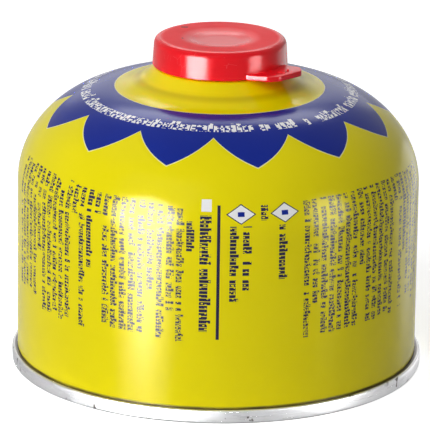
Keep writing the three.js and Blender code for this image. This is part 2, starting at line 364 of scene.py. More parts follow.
def petal_group():
    """The pointed petals of the blue band and the thin line round them."""
    inputs = [("Azimuth", "Float", 0.0), ("Radius", "Float", 0.0), ("Height", "Float", 0.0),
              ("Count", "Float", 12.0), ("First tip", "Float", 12.55), ("Gather", "Float", 0.052),
              ("Tip radius", "Float", 47.15), ("Valley radius", "Float", 39.25),
              ("Inner radius", "Float", 28.2), ("Line", "Float", 0.22), ("Lowest", "Float", 40.0)]
    t, i, out = new_group("petal_band", inputs, [("Band", "Float"), ("Line", "Float")])
    turn = t.math("SUBTRACT", i["Azimuth"], i["First tip"])
    gather = t.math("MULTIPLY", i["Gather"], t.math("SINE", t.math("RADIANS", turn)))
    phase = t.math("MULTIPLY_ADD", turn, t.math("DIVIDE", i["Count"], 360.0), gather)
    share = t.math("FRACT", t.math("ADD", phase, 0.5))
    from_tip = t.math("ABSOLUTE", t.math("MULTIPLY_ADD", share, 2.0, -1.0))
    curve = t.math("ADD", t.math("MULTIPLY", from_tip, 0.58),
                   t.math("MULTIPLY", t.math("POWER", from_tip, 2.5), 0.42))
    depth = t.math("SUBTRACT", i["Tip radius"], i["Valley radius"])
    edge = t.math("SUBTRACT", i["Tip radius"], t.math("MULTIPLY", depth, curve))
    on_top = t.math("GREATER_THAN", i["Height"], i["Lowest"])
    t.feed(out["Band"], t.product(on_top, t.between(i["Radius"], i["Inner radius"], edge)))
    outer = t.between(i["Radius"], edge, t.math("ADD", edge, i["Line"]))
    inner = t.between(i["Radius"], t.math("SUBTRACT", i["Inner radius"], i["Line"]), i["Inner radius"])
    t.feed(out["Line"], t.product(on_top, t.math("MAXIMUM", outer, inner)))


def print_group():
    """Lines of small unreadable marks, in words of uneven length."""
    inputs = [("Across", "Float", 0.0), ("Along", "Float", 0.0), ("First", "Float", 0.0),
              ("Pitch", "Float", 2.5), ("Lines", "Float", 1.0), ("Start", "Float", 58.0),
              ("End", "Float", 22.0), ("Ragged", "Float", 0.0), ("Letter", "Float", 1.0),
              ("Weight", "Float", 0.6), ("Seed", "Float", 1.0)]
    t, i, out = new_group("small_print", inputs, [("Mask", "Float")])
    row = t.math("DIVIDE", t.math("SUBTRACT", i["Across"], i["First"]), i["Pitch"])
    line = t.math("FLOOR", row)
    height = t.math("FRACT", row)
    on_line = t.between(line, -0.5, t.math("SUBTRACT", i["Lines"], 0.5))
    end = t.math("MULTIPLY_ADD", t.random(line, i["Seed"]), i["Ragged"], i["End"])
    on_length = t.between(i["Along"], end, i["Start"])
    place = t.math("DIVIDE", i["Along"], i["Letter"])
    cell = t.math("FLOOR", place)
    inside = t.math("FRACT", place)
    row_seed = t.math("MULTIPLY_ADD", i["Seed"], 13.7, line)
    word = t.math("GREATER_THAN", t.random(cell, row_seed), 0.13)
    tall = t.math("GREATER_THAN", t.random(t.math("ADD", cell, 0.5), row_seed), 0.72)
    top = t.math("MULTIPLY_ADD", tall, 0.22, 0.68)
    body = t.between(height, 0.1, top)
    gap = t.between(inside, 0.1, 0.92)
    stroke_x = t.math("FLOOR", t.math("MULTIPLY", inside, 3.0))
    stroke_y = t.math("FLOOR", t.math("MULTIPLY", height, 8.0))
    stroke = t.random(t.math("MULTIPLY_ADD", cell, 3.0, stroke_x),
                      t.math("MULTIPLY_ADD", row_seed, 7.0, stroke_y))
    t.feed(out["Mask"], t.product(on_line, on_length, word, body, gap,
                                  t.math("LESS_THAN", stroke, i["Weight"])))


def shape_group():
    """A rectangle and a lozenge about one centre."""
    inputs = [("Across", "Float", 0.0), ("Along", "Float", 0.0), ("Middle across", "Float", 0.0),
              ("Middle along", "Float", 0.0), ("Half width", "Float", 1.0), ("Half height", "Float", 1.0)]
    t, i, out = new_group("flat_shape", inputs, [("Rectangle", "Float"), ("Lozenge", "Float")])
    x = t.math("DIVIDE", t.math("ABSOLUTE", t.math("SUBTRACT", i["Across"], i["Middle across"])),
               i["Half width"])
    y = t.math("DIVIDE", t.math("ABSOLUTE", t.math("SUBTRACT", i["Along"], i["Middle along"])),
               i["Half height"])
    t.feed(out["Rectangle"], t.product(t.math("LESS_THAN", x, 1.0), t.math("LESS_THAN", y, 1.0)))
    t.feed(out["Lozenge"], t.math("LESS_THAN", t.math("ADD", x, y), 1.0))


def wear_group():
    """Slow unevenness, fine grain and thin scattered scratches."""
    inputs = [("Scale", "Float", 1.0), ("Scratches", "Float", 0.5)]
    t, i, out = new_group("surface_wear", inputs,
                          [("Cloud", "Float"), ("Grain", "Float"), ("Scratch", "Float")])
    place = t.node("VectorMath", operation="SCALE")
    t.feed(place.inputs[0], t.node("TexCoord").outputs["Object"])
    t.feed(place.inputs["Scale"], i["Scale"])
    t.feed(out["Cloud"], t.noise(place.outputs[0], 45, 3))
    t.feed(out["Grain"], t.noise(place.outputs[0], 1800, 2))
    lines = t.node("TexVoronoi", feature="DISTANCE_TO_EDGE")
    stretch = t.node("Mapping")
    t.feed(stretch.inputs["Vector"], place.outputs[0])
    stretch.inputs["Rotation"].default_value = (0.5, 0.3, 0.9)
    stretch.inputs["Scale"].default_value = (60, 420, 150)
    t.feed(lines.inputs["Vector"], stretch.outputs[0])
    lines.inputs["Scale"].default_value = 1.0
    thin = t.math("LESS_THAN", lines.outputs["Distance"], 0.012)
    sparse = t.math("GREATER_THAN", t.noise(place.outputs[0], 160, 1), 0.62)
    t.feed(out["Scratch"], t.product(thin, sparse, i["Scratches"]))


def new_material(name, **values):
    """A material with one Principled shader, whose plain values are set on its own sockets."""
    material = bpy.data.materials.new(name)
    material.use_nodes = True
    material.node_tree.nodes.clear()
    t = Tree(material.node_tree)
    shader = t.node("BsdfPrincipled")
    output = t.node("OutputMaterial")
    t.feed(output.inputs["Surface"], shader.outputs["BSDF"])
    for key, value in values.items():
        shader.inputs[key.replace("_", " ")].default_value = value
    return material, t, shader


def colour(value):
    """A colour with full alpha."""
    return (*value, 1.0)


ARC_PER_DEGREE = math.radians(1) * 54.0

# Lines of small print: number of the first line of a run, then its start and end height in
# millimetres, how far its end may vary, and how dense its marks are
LEFT_PRINT = (
    (0, 60.0, 24.0, 2, 0.70), (5, 59.9, 38.0, 0, 0.70), (6, 59.8, 21.5, 2, 0.70),
    (11, 59.4, 52.0, 0, 0.70), (12, 59.2, 21.5, 0, 0.70), (13, 59.0, 38.3, 0, 0.92),
    (14, 58.8, 53.5, 0, 0.70), (15, 58.8, 22.5, 1, 0.70), (20, 58.4, 35.0, 0, 0.70),
    (21, 58.2, 22.5, 0, 0.70), (22, 58.0, 30.0, 0, 0.70), (23, 57.6, 21.8, 0, 0.70),
    (24, 54.5, 46.5, 0, 0.92), (25, 0, 0, 0, 0),
)
RIGHT_PRINT = (
    (0, 58.8, 22.0, 0, 0.70), (1, 58.9, 30.0, 0, 0.70), (2, 59.0, 21.8, 1, 0.70),
    (7, 59.2, 39.0, 0, 0.70), (8, 59.2, 22.0, 2, 0.70), (13, 59.2, 53.0, 0, 0.70),
    (14, 59.2, 23.0, 0, 0.70), (15, 59.0, 38.0, 0, 0.92), (16, 58.8, 22.0, 4, 0.70),
    (21, 0, 0, 0, 0),
)
LINE_TABLE_LENGTH = 32
HEIGHT_SCALE = 64.0


def lacquer_material(finish):
    """Glossy lacquer with the petal band, the small print, the white shapes, and painted shade in the neck's
    crease and just above the seam.
    """
    material, t, shader = new_material("printed_lacquer", Roughness=0.2)
    shader.inputs["Specular IOR Level"].default_value = 0.16
    where = t.group("place_on_can").outputs
    azimuth, radius, height = where["Azimuth"], where["Radius"], where["Height"]
    across = t.math("MULTIPLY", azimuth, ARC_PER_DEGREE)
    wear = t.group("surface_wear", Scale=1.0, Scratches=0.5).outputs

    petals = t.group("petal_band", Azimuth=azimuth, Radius=radius, Height=height).outputs
    ground = t.mix(t.ramp(wear["Cloud"], 0.3, 0.7), colour(finish.yellow),
                   colour([c * 0.965 for c in finish.yellow]))
    blue = t.mix(t.ramp(wear["Cloud"], 0.3, 0.7), colour(finish.blue), colour([c * 0.85 for c in finish.blue]))
    paint = t.mix(petals["Line"], ground, colour(finish.pale))
    paint = t.mix(petals["Band"], paint, blue)
    # Painted shade: a darker olive band in the crease at the foot of the neck, where shade falls.
    crease = t.math("MULTIPLY", t.ramp(radius, 20.6, 21.6), t.ramp(radius, 23.8, 22.2))
    crease = t.math("MULTIPLY", crease, t.math("GREATER_THAN", height, 76.0))
    paint = t.mix(t.math("MULTIPLY", crease, 0.4), paint, (0.36, 0.26, 0.0, 1))

    ring_text = t.group("small_print", Across=t.math("MULTIPLY", radius, -1.0),
                        Along=t.math("MULTIPLY", azimuth, math.radians(1) * 35.5),
                        First=-37.6, Pitch=4.4, Lines=1.0, Start=400.0, End=-400.0, Letter=1.5,
                        Weight=0.62, Seed=5.0).outputs["Mask"]
    ring_text = t.math("MULTIPLY", ring_text, petals["Band"])
    bullet = t.group("flat_shape", Across=t.math("MULTIPLY", azimuth, math.radians(1) * 35.5),
                     Along=radius, Middle_across=math.radians(32.5) * 35.5, Middle_along=35.6,
                     Half_width=0.9, Half_height=0.9).outputs["Lozenge"]
    paint = t.mix(t.math("MAXIMUM", ring_text, bullet), paint, colour(finish.white))

    def print_block(rows, first, pitch, seed, letter=0.86):
        """A block of lines whose lengths are looked up by the line's number."""
        line = t.math("FLOOR", t.math("DIVIDE", t.math("SUBTRACT", azimuth, first), pitch))
        table = t.node("ValToRGB")
        ramp = table.color_ramp
        ramp.interpolation = "CONSTANT"
        for number, (row, start, end, ragged, weight) in enumerate(rows):
            if number > 1:
                ramp.elements.new(0.999)
            ramp.elements[number].position = row / LINE_TABLE_LENGTH
            ramp.elements[number].color = (start / HEIGHT_SCALE, end / HEIGHT_SCALE,
                                           ragged / HEIGHT_SCALE, weight)
        t.feed(table.inputs[0], t.math("DIVIDE", t.math("ADD", line, 0.5), float(LINE_TABLE_LENGTH)))
        values = t.node("SeparateColor")
        t.feed(values.inputs[0], table.outputs["Color"])
        start, end, ragged = [t.math("MULTIPLY", v, HEIGHT_SCALE) for v in values.outputs]
        return t.group("small_print", Across=across, Along=height, First=first * ARC_PER_DEGREE,
                       Pitch=pitch * ARC_PER_DEGREE, Lines=float(rows[-1][0]), Start=start, End=end,
                       Ragged=ragged, Letter=letter, Weight=table.outputs["Alpha"],
                       Seed=seed).outputs["Mask"]

    def print_line(middle, start, end, width, seed, weight=0.9, letter=1.0):
        """One line of print, by its middle azimuth and its width in degrees."""
        return t.group("small_print", Across=across, Along=height,
                       First=(middle - width * 0.45) * ARC_PER_DEGREE, Pitch=width * ARC_PER_DEGREE,
                       Lines=1.0, Start=start, End=end, Letter=letter, Weight=weight,
                       Seed=seed).outputs["Mask"]

    ink = t.math("MAXIMUM", print_block(LEFT_PRINT, -76.1, 2.8, 2.0),
                 print_block(RIGHT_PRINT, 24.5, 2.7, 3.0))
    for number, (middle, start, end, width) in enumerate((
            (-3.5, 56.2, 24.8, 4.0), (4.5, 53.4, 33.0, 3.1), (8.1, 53.4, 36.0, 3.1),
            (13.0, 58.6, 54.8, 2.6), (18.3, 53.4, 38.7, 3.1))):
        ink = t.math("MAXIMUM", ink, print_line(middle, start, end, width, 6.0 + number))

    def shape(azimuth_middle, level, half_width, half_height):
        return t.group("flat_shape", Across=across, Along=height,
                       Middle_across=azimuth_middle * ARC_PER_DEGREE, Middle_along=level,
                       Half_width=half_width, Half_height=half_height).outputs

    ink = t.math("MAXIMUM", ink, shape(0.3, 40.7, 0.42, 18.0)["Rectangle"])
    ink = t.math("MULTIPLY", ink, t.math("GREATER_THAN", radius, 50.0))
    paint = t.mix(ink, paint, colour(finish.ink))
    paint = t.mix(shape(-3.2, 58.6, 1.35, 1.5)["Rectangle"], paint, colour(finish.white))
    for middle in (6.5, 19.0):
        paint = t.mix(shape(middle, 56.45, 4.0, 2.6)["Lozenge"], paint, colour(finish.ink))
        paint = t.mix(shape(middle, 56.45, 3.55, 2.3)["Lozenge"], paint, colour(finish.white))
        paint = t.mix(shape(middle, 56.45, 0.9, 0.6)["Rectangle"], paint, colour(finish.blue))
    # Painted shade: a dark, patchy band at the wall's foot just above the seam, where the gap to the seam lies
    # in shade.
    patchy = t.noise(t.node("TexCoord").outputs["Object"], 90, 3)
    seam_gap_shade = t.math("MULTIPLY", t.ramp(height, 4.35, 3.9), t.ramp(patchy, 0.2, 0.6, 0.55, 0.95))
    paint = t.mix(seam_gap_shade, paint, (0.09, 0.055, 0.03, 1))
    t.feed(shader.inputs["Base Color"], paint)
    t.feed(shader.inputs["Roughness"], t.ramp(wear["Cloud"], 0.25, 0.75, 0.17, 0.23))
    t.feed(shader.inputs["Normal"], t.bump(wear["Grain"], 0.05, 0.00002))
    return material


def tinplate_material(name, tint, marks):
    """Bare tinplate, rolled in rings, with faint stains, dark nicks, and painted shade at its foot and along
    the top of the seam.
    """
    material, t, shader = new_material(name, Metallic=1.0, Roughness=0.3)
    where = t.group("place_on_can").outputs
    wear = t.group("surface_wear", Scale=1.0, Scratches=0.6).outputs
    rings = t.node("CombineXYZ")
    t.feed(rings.inputs[0], t.math("MULTIPLY", where["Azimuth"], 0.02))
    t.feed(rings.inputs[1], where["Radius"])
    t.feed(rings.inputs[2], where["Height"])
    lines = t.noise(rings.outputs[0], 3.5, 4, 0.7)
    object_place = t.node("TexCoord").outputs["Object"]
    clouds = t.noise(object_place, 70, 3, 0.6)
    stains = t.noise(object_place, 420, 2, 0.5)
    metal = t.mix(t.ramp(lines, 0.3, 0.7), colour(tint), colour([c * 0.8 for c in tint]))
    metal = t.mix(t.ramp(clouds, 0.35, 0.7, 0.0, 0.3), metal, colour([c * 0.55 for c in tint]))
    nicks = t.math("MULTIPLY", t.ramp(stains, 0.63, 0.67), t.ramp(clouds, 0.5, 0.56))
    # Painted shade: darker at the very bottom edge, standing in for the contact shadow where the rim meets the
    # floor.
    foot = t.ramp(where["Height"], 0.45, 0.1)
    # Painted shade along the top of the seam, on its inner side next to the wall.
    ledge = t.math("MULTIPLY", t.ramp(where["Height"], 3.3, 3.6), t.ramp(where["Radius"], 55.0, 54.6))
    # The real nicks and the painted shade share one dark brown; marks sets how strongly both show.
    nicks_and_shade = t.math("MAXIMUM", nicks, t.math("MAXIMUM", foot, ledge))
    metal = t.mix(t.math("MULTIPLY", nicks_and_shade, marks), metal, (0.05, 0.04, 0.03, 1))
    t.feed(shader.inputs["Base Color"], metal)
    t.feed(shader.inputs["Roughness"], t.ramp(lines, 0.3, 0.7, 0.24, 0.4))
    height = t.math("ADD", t.math("MULTIPLY", lines, 0.6), t.math("MULTIPLY", wear["Scratch"], -0.8))
    t.feed(shader.inputs["Normal"], t.bump(height, 0.25, 0.00004))
    return material


def plastic_material(name, base, gloss, worn, matt_ring=(0.0, 0.0), top_pit_shades=()):
    """Moulded plastic with flow marks, fine grain and scratches, matt between two radii on top, and near-black
    painted shade for small pits on top.
    """
    material, t, shader = new_material(name, Roughness=gloss)
    shader.inputs["Specular IOR Level"].default_value = 0.25
    where = t.group("place_on_can").outputs
    wear = t.group("surface_wear", Scale=1.6, Scratches=worn).outputs
    tone = t.mix(t.ramp(wear["Cloud"], 0.3, 0.7), colour(base), colour([c * 0.88 for c in base]))
    pale = [min(1.0, c + 0.25) for c in base]
    ring = t.math("MULTIPLY", t.ramp(where["Radius"], matt_ring[0], matt_ring[0] + 3.5),
                  t.ramp(where["Radius"], matt_ring[1], matt_ring[1] - 1.2))
    tone = t.mix(t.math("MULTIPLY", wear["Scratch"], 0.35), tone, colour(pale))
    # Painted shade: near-black shapes on the top stand in for the shade inside small pits in it.
    if top_pit_shades:
        place = t.node("SeparateXYZ")
        t.feed(place.inputs[0], t.node("TexCoord").outputs["Object"])
        x, y = [t.math("MULTIPLY", place.outputs[k], 1000.0) for k in (0, 1)]
        for form, middle_x, middle_y, half_x, half_y in top_pit_shades:
            pit_shade = t.group("flat_shape", Across=x, Along=y, Middle_across=middle_x, Middle_along=middle_y,
                           Half_width=half_x, Half_height=half_y).outputs[form]
            tone = t.mix(pit_shade, tone, colour([c * 0.06 for c in base]))
    t.feed(shader.inputs["Base Color"], tone)
    smooth = t.ramp(wear["Cloud"], 0.25, 0.75, gloss * 0.85, gloss * 1.2)
    t.feed(shader.inputs["Roughness"], t.math("MULTIPLY_ADD", ring, 0.34, smooth))
    height = t.math("MULTIPLY", wear["Grain"], t.math("MULTIPLY_ADD", ring, 3.0, 1.0))
    t.feed(shader.inputs["Normal"], t.bump(height, 0.08, 0.00003))
    return material


def turned_metal_material(name, base, rough):
    """Drawn or turned metal with fine rings."""
    material, t, shader = new_material(name, Metallic=1.0, Roughness=rough)
    where = t.group("place_on_can").outputs
    wear = t.group("surface_wear", Scale=3.0, Scratches=0.4).outputs
    rings = t.math("SINE", t.math("MULTIPLY", t.math("ADD", where["Radius"], where["Height"]), 40.0))
    tone = t.mix(t.ramp(wear["Cloud"], 0.3, 0.7), colour(base), colour([c * 0.8 for c in base]))
    t.feed(shader.inputs["Base Color"], tone)
    t.feed(shader.inputs["Roughness"], t.ramp(wear["Cloud"], 0.25, 0.75, rough * 0.8, rough * 1.3))
    t.feed(shader.inputs["Normal"], t.bump(rings, 0.15, 0.00001))
    return material


# Levels of the neck, cup and cap, in millimetres

CUP_SHEET = 0.35
CUP_DEPTH = 8.1
END_SHEET = 0.3
CAP_WALL = 1.25


def levels(shape):
    """Heights and radii that follow from the shape's sizes."""
    shoulder_end = shape.wall_height + shape.shoulder_rise
    crease = shoulder_end + shape.collar_rise
    ledge = crease + shape.neck_rise
    bead_radius, bead_lift, opening = 1.3, 0.4, 12.7
    channel = bead_radius + 0.5 + 0.2
    rim = ledge + bead_lift + bead_radius + channel + CUP_SHEET
    return dict(shoulder_end=shoulder_end, crease=crease, ledge=ledge, bead_radius=bead_radius,
                bead=(opening + bead_radius, ledge + bead_lift + bead_radius), channel=channel, rim=rim,
                floor=rim - CUP_DEPTH, boss_top=rim + 0.75, cap_bottom=ledge + 0.26)


class CANISTER_OT_materials(bpy.types.Operator):
    """Makes the node groups and the materials."""

    bl_idname = "canister.materials"
    bl_label = "Materials"

    def execute(self, context):
        finish = context.scene.canister_finish
        axis_group()
        petal_group()
        print_group()
        shape_group()
        wear_group()
        lacquer_material(finish)
        tinplate_material("seam_tinplate", (0.74, 0.74, 0.75), 0.9)
        tinplate_material("cup_tinplate", (0.6, 0.58, 0.53), 0.0)
        plastic_material("red_cap_plastic", finish.red, 0.22, 0.5, matt_ring=(7.5, 16.4),
                         top_pit_shades=(("Rectangle", -9.7, 9.6, 0.9, 0.45), ("Lozenge", -10.1, -1.6, 0.4, 0.5)))
        plastic_material("housing_acetal", (0.78, 0.75, 0.66), 0.45, 0.3)
        plastic_material("seal_rubber", (0.012, 0.012, 0.013), 0.6, 0.5)
        turned_metal_material("stem_brass", (0.62, 0.42, 0.13), 0.28)
        turned_metal_material("spring_wire", (0.52, 0.52, 0.53), 0.25)
        return {"FINISHED"}


class CANISTER_OT_can(bpy.types.Operator):
    """Models the drawn can with its shoulder, collar, neck and bead."""

    bl_idname = "canister.can"
    bl_label = "Can"

    def execute(self, context):
        shape = context.scene.canister_shape
        at = levels(shape)
        flange_in = shape.seam_radius - 2.1 + END_SHEET + 0.1
        flange_out = shape.seam_radius - END_SHEET - 0.1
        flange_top = shape.seam_height - END_SHEET - 0.1
        collar = shape.shoulder_end_radius - shape.crease_radius
        bead = arc_points(at["bead"], at["bead_radius"], -50, 180, 20)
        well = at["bead"][0] - at["channel"] + 1.25 + 0.4
        outline = [
            (0, 12.5),
            *[(52.0 * s, 12.5 - 7.7 * s * s) for s in (0.2, 0.4, 0.6, 0.8, 0.92, 1.0)],
            *eased([(flange_in, 2.9), (flange_in, 0.4, 0.5), (flange_out, 0.4, 0.5),
                    (flange_out, flange_top, 0.5), (shape.can_radius, flange_top)]),
            (shape.can_radius, flange_top + 0.1),
            *[(shape.can_radius, flange_top + (shape.wall_height - flange_top) * k / 8) for k in range(1, 8)],
            *sweep_points((shape.can_radius, shape.wall_height), 90, 13.55,
                          (shape.shoulder_end_radius, at["shoulder_end"]), 5.1, 13.95, 56),
            *sweep_points((shape.shoulder_end_radius, at["shoulder_end"]), 5.1, collar / 3,
                          (shape.crease_radius, at["crease"]), 29, collar / 3, 16),
            *eased([(shape.crease_radius, at["crease"]), (shape.neck_radius, at["ledge"], 0.7),
                    (bead[0][0] + 0.65, at["ledge"]), bead[0]], 8),
            *bead,
            (at["bead"][0] - at["bead_radius"], at["bead"][1] - 1.3),
            (well, at["bead"][1] - 1.0 - 1.3),
            (well, at["floor"] - 0.45),
            (5.5, at["floor"] - 0.45),
            (5.5, at["floor"] - 5.9),
            (0, at["floor"] - 5.9),
        ]
        piece = finished("can_shell", spun_mesh(outline, shape.facets))
        dress(piece, "can", bpy.data.materials["printed_lacquer"], "lacquer", "can_body")
        return {"FINISHED"}


class CANISTER_OT_bottom_end(bpy.types.Operator):
    """Models the domed bottom end and its double seam."""

    bl_idname = "canister.bottom_end"
    bl_label = "Bottom end"

    def execute(self, context):
        shape = context.scene.canister_shape
        half = END_SHEET / 2
        chuck = shape.seam_radius - 2.1 + half
        panel_edge = chuck - 1.4
        panel = [(panel_edge * (1 - k / 24), 12 - 7.7 * (1 - k / 24) ** 2) for k in range(25)]
        middle = [
            *eased([(shape.can_radius + 0.1, shape.seam_height - half),
                    (shape.seam_radius - half, shape.seam_height - half, 0.55),
                    (shape.seam_radius - half, half, 0.55),
                    (chuck, half, 0.55), (chuck, 4.3, 1.4), panel[1]]),
            *panel[2:],
        ]
        piece = finished("seamed_end", spun_mesh(sheet_section(middle, END_SHEET), shape.facets))
        dress(piece, "can", bpy.data.materials["seam_tinplate"], "tinplate", "bottom_end")
        return {"FINISHED"}


class CANISTER_OT_valve(bpy.types.Operator):
    """Models the mounting cup with its thread, and the stem, and finishes the pieces inside."""

    bl_idname = "canister.valve"
    bl_label = "Valve"

    def execute(self, context):
        shape = context.scene.canister_shape
        at = levels(shape)
        half = CUP_SHEET / 2
        boss = shape.boss_radius - half
        wall = at["bead"][0] - at["channel"] - half
        floor = at["floor"] + half
        clinch = at["bead"][1] - 1.6
        top = at["boss_top"] - half
        rows = 72
        boss_rows = [(boss, floor + 1 + (top - floor - 1.9) * k / rows) for k in range(rows + 1)]
        middle = [
            *arc_points(at["bead"], at["channel"] + half, -15, 180, 28),
            *eased([(wall, at["bead"][1]), (wall, clinch + 0.8, 0.4), (wall + 1.25, clinch - 0.4, 0.5),
                    (wall + 1.25, clinch - 1.07, 0.4), (wall, clinch - 2.13, 0.5), (wall, floor, 1.2),
                    (boss, floor, 0.5), boss_rows[0]]),
            *boss_rows[1:],
            *eased([(boss, top - 0.8), (boss, top, 0.6), (2.3, top)]),
        ]
        bm = spun_mesh(sheet_section(middle, CUP_SHEET), 128, closed=True)
        self.cut_thread(bm, shape, floor + 1.2, top - 0.9)
        cup = finished("threaded_cup", bm, 60)
        dress(cup, "can", bpy.data.materials["cup_tinplate"], "cup_steel", "mounting_cup")

        stem_top = at["boss_top"] - 0.9
        shoulder = at["boss_top"] - CUP_SHEET - 0.1 - 1.4 - 0.15
        outline = [(0, shoulder - 3.5), *eased([(0.01, shoulder - 3.5), (2.3, shoulder - 3.5, 0.3),
                                                (2.3, shoulder - 1.6)]),
                   *eased([(2.31, shoulder - 1.6), (3.6, shoulder - 1.6, 0.2), (3.6, shoulder, 0.2),
                           (1.9, shoulder), (1.9, stem_top, 0.3), (0.8, stem_top, 0.1),
                           (0.7, stem_top - 0.3)]),
                   (0, stem_top - 0.35)]
        stem = finished("stem_pin", spun_mesh(outline, 64))
        dress(stem, "stem", bpy.data.materials["stem_brass"], "stem_brass", "valve_stem")

        inside = {"cup_gasket": "seal_rubber", "stem_gasket": "seal_rubber",
                  "valve_housing": "housing_acetal", "valve_spring": "spring_wire"}
        for node, material in inside.items():
            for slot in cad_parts[node].material_slots:
                slot.material = bpy.data.materials[material]
        return {"FINISHED"}

    def cut_thread(self, bm, shape, low, high):
        """Moves the wall of the boss in and out along a helix, easing out at both ends."""
        depth = 0.45
        for vert in bm.verts:
            level = vert.co.z / MM
            radius = math.hypot(vert.co.x, vert.co.y) / MM
            if not (low < level < high and radius < shape.boss_radius + 0.1 and radius > 4):
                continue
            turn = (level / shape.thread_pitch - math.atan2(vert.co.y, vert.co.x) / math.tau) % 1
            groove = depth * (1 - abs(2 * turn - 1)) * min(1, (level - low) / 0.6, (high - level) / 0.6)
            vert.co.xy *= (radius - groove) / radius


class CANISTER_OT_cap(bpy.types.Operator):
    """Models the press-fit cap with its dished top and its pull tab."""

    bl_idname = "canister.cap"
    bl_label = "Cap"

    def execute(self, context):
        shape = context.scene.canister_shape
        bottom = levels(shape)["cap_bottom"]
        top = bottom + shape.cap_height
        wall, thick = CAP_WALL, 1.0
        upper = shape.cap_radius - 0.45
        inner = shape.cap_radius - wall

        def dish(level):
            rim, floor, depth, steps = 11.8, 4.7, 1.1, 24
            return [(rim + (floor - rim) * k / steps,
                     level - depth * (1 - math.cos(math.pi * k / steps)) / 2) for k in range(steps + 1)]

        outline = [
            (0, top - 1.1), *dish(top)[::-1],
            *eased([(11.81, top), (upper, top, 1.9), (shape.cap_radius, bottom, 0.25),
                    (inner - 0.4, bottom, 0.15), (inner - 0.4, bottom + 0.6, 0.2),
                    (inner, bottom + 1.2, 0.2), (upper - wall, top - thick, 0.9),
                    (11.81, top - thick)], 8),
            *dish(top - thick), (0, top - 1.1 - thick),
        ]
        cap = finished("press_fit_cap", spun_mesh(outline, shape.facets))
        pieces = [self.tab(shape, bottom), *self.tab_details(bottom)]
        joined(cap, *pieces)
        dress(cap, "lid", bpy.data.materials["red_cap_plastic"], "cap_plastic", "cap")
        return {"FINISHED"}

    def turned_to_tab(self, bm):
        turn = Matrix.Rotation(math.radians(52 - 90), 3, "Z")
        bmesh.ops.rotate(bm, verts=bm.verts, cent=(0, 0, 0), matrix=turn)

    def tab(self, shape, bottom):
        """The flat tongue, with eased edges."""
        root, reach, half, cut = shape.cap_radius - CAP_WALL / 2, 24.3, 6.8, 2.6
        front, rear = -math.degrees(math.asin((half + 2.4) / root)), math.degrees(math.asin((half - 1) / root))
        root_arc = arc_points((0, 0), root, rear, front, 10)
        outline = eased([root_arc[-1], (reach - cut, -half, 0.8), (reach - 0.8, cut - half, 0.8),
                         (reach, half - cut, 0.8), (reach - cut, half, 0.8), root_arc[0]]) + root_arc[1:-1]
        bm = bmesh.new()
        face = bm.faces.new([bm.verts.new((x * MM, y * MM, bottom * MM)) for x, y in outline])
        new = bmesh.ops.extrude_face_region(bm, geom=[face])["geom"]
        lifted = [v for v in new if isinstance(v, bmesh.types.BMVert)]
        bmesh.ops.translate(bm, verts=lifted, vec=(0, 0, 1.5 * MM))
        bmesh.ops.recalc_face_normals(bm, faces=bm.faces)
        rims = [e for e in bm.edges if e.calc_face_angle(0) > 1.2]
        bmesh.ops.bevel(bm, geom=rims, offset=0.2 * MM, segments=3, affect="EDGES", profile=0.5, material=-1)
        self.turned_to_tab(bm)
        return finished("tab_blank", bm)

    def tab_details(self, bottom):
        """A raised ring on the tab, a pin beside it and a small gusset up the skirt."""
        level = (bottom + 1.5) * MM
        ring = bmesh.new()
        bmesh.ops.create_cone(ring, cap_ends=True, segments=32, radius1=1.2 * MM, radius2=1.05 * MM,
                              depth=0.5 * MM, matrix=Matrix.Translation((21.2 * MM, -0.4 * MM, level)))
        self.turned_to_tab(ring)
        pin = bmesh.new()
        bmesh.ops.create_cone(pin, cap_ends=True, segments=20, radius1=0.3 * MM, radius2=0.25 * MM,
                              depth=1.0 * MM, matrix=Matrix.Translation((21.6 * MM, 1.6 * MM, level)))
        self.turned_to_tab(pin)
        gusset = bmesh.new()
        bmesh.ops.create_cube(gusset, size=1.0, matrix=Matrix.Translation(
            (17.5 * MM, -1.2 * MM, level + 0.5 * MM)) @ Matrix.Diagonal((0.9 * MM, 0.35 * MM, 1.8 * MM, 1)))
        outer = [v for v in gusset.verts if v.co.x > 17.6 * MM and v.co.z > level]
        bmesh.ops.translate(gusset, verts=outer, vec=(-0.5 * MM, 0, 0))
        self.turned_to_tab(gusset)
        return [finished("tab_ring", ring), finished("tab_pin", pin), finished("tab_gusset", gusset)]


